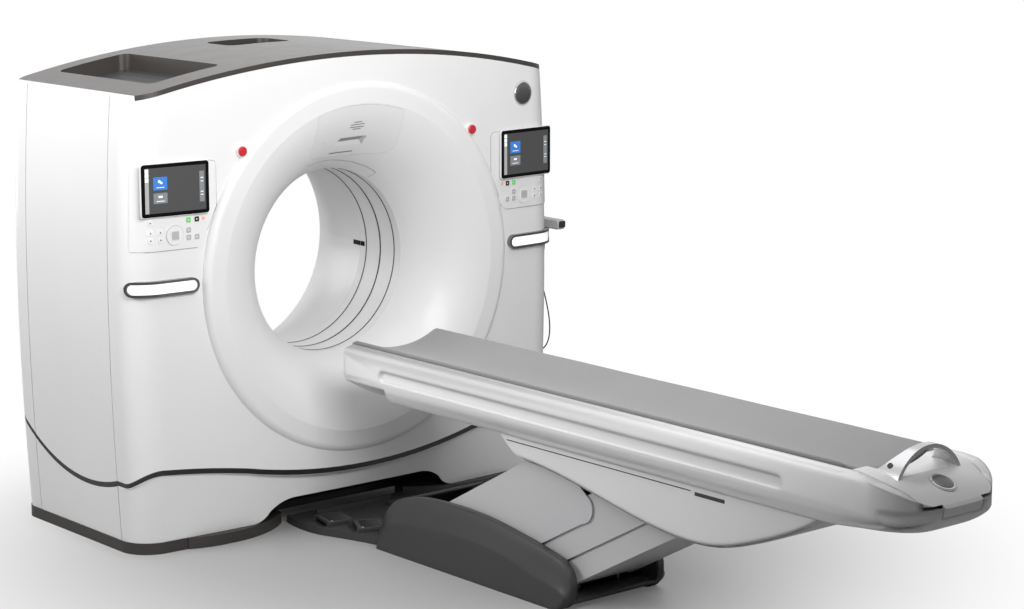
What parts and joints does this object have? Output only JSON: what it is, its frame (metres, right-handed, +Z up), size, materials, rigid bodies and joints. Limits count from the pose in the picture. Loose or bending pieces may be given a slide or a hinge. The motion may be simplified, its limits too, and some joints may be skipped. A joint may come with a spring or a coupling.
{
  "type": "ct scanner",
  "caption": "Whole-body CT scanner: a tall gantry with a wide bore, twin touch displays and lit handles, and a long patient table on a parallelogram lift in front of it.",
  "frame": {"origin": "on the floor straight under the isocentre of the gantry", "axes": "+Z up; +Y along the bore from the table side to the back of the gantry, the way the cradle travels in; +X to the right seen from the foot end of the table"},
  "size_m": [2.3331, 4.304, 2.0166],
  "materials": {
    "cover_white": "satin",
    "cover_charcoal": "matte",
    "accent": "satin",
    "screen_mesh": "matte",
    "window_clear": "satin",
    "seal_rubber": "matte",
    "console_grey": "satin",
    "display_black": "gloss",
    "bezel_chrome": "polished",
    "light_white": "satin",
    "button_red": "satin",
    "key_dark": "satin",
    "reader_dark": "satin",
    "cord_black": "matte",
    "steel_frame": "matte",
    "bearing_steel": "satin",
    "rotor_cast": "satin",
    "tube_metal": "satin",
    "detector_metal": "satin",
    "arm_grey": "satin",
    "base_charcoal": "satin",
    "base_steel": "matte",
    "pedal_rubber": "matte",
    "tray_grey": "satin",
    "pad_grey": "matte",
    "cradle_carbon": "satin",
    "handle_grey": "satin",
    "module_grey": "satin"
  },
  "bodies": {
    "gantry_and_base": {"gantry_base_frame": "steel_frame", "gantry_stand": "steel_frame", "bearing_outer_race": "bearing_steel", "front_cover": "cover_white", "flare_module": "module_grey", "front_skirt": "cover_white", "side_cover_left": "cover_white", "side_cover_right": "cover_white", "rear_cover": "cover_white", "top_cover": "cover_charcoal", "vent_screens": "screen_mesh", "plinth_left": "cover_charcoal", "plinth_right": "cover_charcoal", "accent_trim": "accent", "scan_window": "window_clear", "bore_seals": "seal_rubber", "console_panel_left": "console_grey", "console_panel_right": "console_grey", "display_left": "display_black", "display_right": "display_black", "handle_bezel_left": "bezel_chrome", "handle_bezel_right": "bezel_chrome", "light_bar_left": "light_white", "light_bar_right": "light_white", "reader_holder": "cover_white", "hand_reader": "reader_dark", "reader_cord": "cord_black", "cord_gland": "cord_black", "table_base_frame": "base_steel", "table_base_cover": "base_charcoal", "lift_drive": "tube_metal", "foot_tray": "tray_grey"},
    "rotor": {"rotor_drum": "rotor_cast", "slip_ring": "bearing_steel", "xray_tube": "tube_metal", "collimator": "tube_metal", "detector_array": "detector_metal", "hv_generator": "rotor_cast", "tube_cooler": "rotor_cast"},
    "stop_button_left": {"stop_button_left": "button_red"},
    "stop_button_right": {"stop_button_right": "button_red"},
    "nav_pad_left": {"nav_pad_left": "key_dark"},
    "nav_pad_right": {"nav_pad_right": "key_dark"},
    "pedal_1_left": {"pedal_1_left": "pedal_rubber"},
    "pedal_1_right": {"pedal_1_right": "pedal_rubber"},
    "pedal_2_left": {"pedal_2_left": "pedal_rubber"},
    "pedal_2_right": {"pedal_2_right": "pedal_rubber"},
    "lift_upper": {"lift_link_upper": "steel_frame", "lift_cover_upper": "arm_grey"},
    "lift_mid": {"lift_cover_mid": "arm_grey"},
    "lift_lower": {"lift_link_lower": "steel_frame", "lift_cover_lower": "arm_grey"},
    "table_top": {"table_chassis": "steel_frame", "table_shell": "cover_white", "table_belly": "cover_white"},
    "cradle": {"cradle": "cradle_carbon", "cradle_pad": "pad_grey", "cradle_end_cap": "cover_white", "cradle_handle": "handle_grey"},
    "release_button": {"release_button": "key_dark"}
  },
  "joints": [
    {"name": "rotor_spin", "type": "hinge", "parent": "gantry_and_base", "child": "rotor", "pos_m": [0, 0, 1.095], "axis": [0, 1, 0], "continuous": true},
    {"name": "lift", "type": "hinge", "parent": "gantry_and_base", "child": "lift_upper", "pos_m": [0, -1.12, 0.135], "axis": [-1, 0, 0], "range_deg": [-16.1, 12]},
    {"name": "lift_mid_turn", "type": "hinge", "parent": "gantry_and_base", "child": "lift_mid", "pos_m": [0, -1.688, 0.108], "axis": [-1, 0, 0], "range_deg": [-16.2, 12.1]},
    {"name": "lift_lower_turn", "type": "hinge", "parent": "gantry_and_base", "child": "lift_lower", "pos_m": [0, -1.862, 0.1], "axis": [-1, 0, 0], "range_deg": [-16.2, 12.1]},
    {"name": "table_top_level", "type": "hinge", "parent": "lift_upper", "child": "table_top", "pos_m": [0, -1.90943, 0.5672], "axis": [-1, 0, 0], "range_deg": [-12.1, 16.2]},
    {"name": "cradle_slide", "type": "slide", "parent": "table_top", "child": "cradle", "axis": [0, 1, 0], "range_m": [0, 1.75]},
    {"name": "stop_button_left_press", "type": "slide", "parent": "gantry_and_base", "child": "stop_button_left", "axis": [0, 1, 0], "range_m": [0, 0.004], "stiffness_N_per_m": 900},
    {"name": "nav_pad_left_press", "type": "slide", "parent": "gantry_and_base", "child": "nav_pad_left", "axis": [0, 1, 0], "range_m": [0, 0.0015], "stiffness_N_per_m": 900},
    {"name": "stop_button_right_press", "type": "slide", "parent": "gantry_and_base", "child": "stop_button_right", "axis": [0, 1, 0], "range_m": [0, 0.004], "stiffness_N_per_m": 900},
    {"name": "nav_pad_right_press", "type": "slide", "parent": "gantry_and_base", "child": "nav_pad_right", "axis": [0, 1, 0], "range_m": [0, 0.0015], "stiffness_N_per_m": 900},
    {"name": "pedal_1_right_press", "type": "hinge", "parent": "gantry_and_base", "child": "pedal_1_right", "pos_m": [0.15126, -0.45602, 0.0265], "axis": [-0.225, 0.9744, 0], "range_deg": [0, 4], "stiffness_Nm_per_rad": 8, "springref_deg": -5.73},
    {"name": "pedal_1_left_press", "type": "hinge", "parent": "gantry_and_base", "child": "pedal_1_left", "pos_m": [-0.15126, -0.45602, 0.0265], "axis": [-0.225, -0.9744, 0], "range_deg": [0, 4], "stiffness_Nm_per_rad": 8, "springref_deg": -5.73},
    {"name": "pedal_2_right_press", "type": "hinge", "parent": "gantry_and_base", "child": "pedal_2_right", "pos_m": [0.10474, -0.645, 0.0265], "axis": [-0.4695, 0.8829, 0], "range_deg": [0, 4], "stiffness_Nm_per_rad": 8, "springref_deg": -5.73},
    {"name": "pedal_2_left_press", "type": "hinge", "parent": "gantry_and_base", "child": "pedal_2_left", "pos_m": [-0.10474, -0.645, 0.0265], "axis": [-0.4695, -0.8829, 0], "range_deg": [0, 4], "stiffness_Nm_per_rad": 8, "springref_deg": -5.73},
    {"name": "release_press", "type": "slide", "parent": "cradle", "child": "release_button", "axis": [0.7557, 0, -0.6549], "range_m": [0, 0.002], "stiffness_N_per_m": 600}
  ],
  "couplings": [
    {"joint": "lift_mid_turn", "follows": "lift", "ratio": 1},
    {"joint": "lift_lower_turn", "follows": "lift", "ratio": 1},
    {"joint": "table_top_level", "follows": "lift", "ratio": -1}
  ]
}
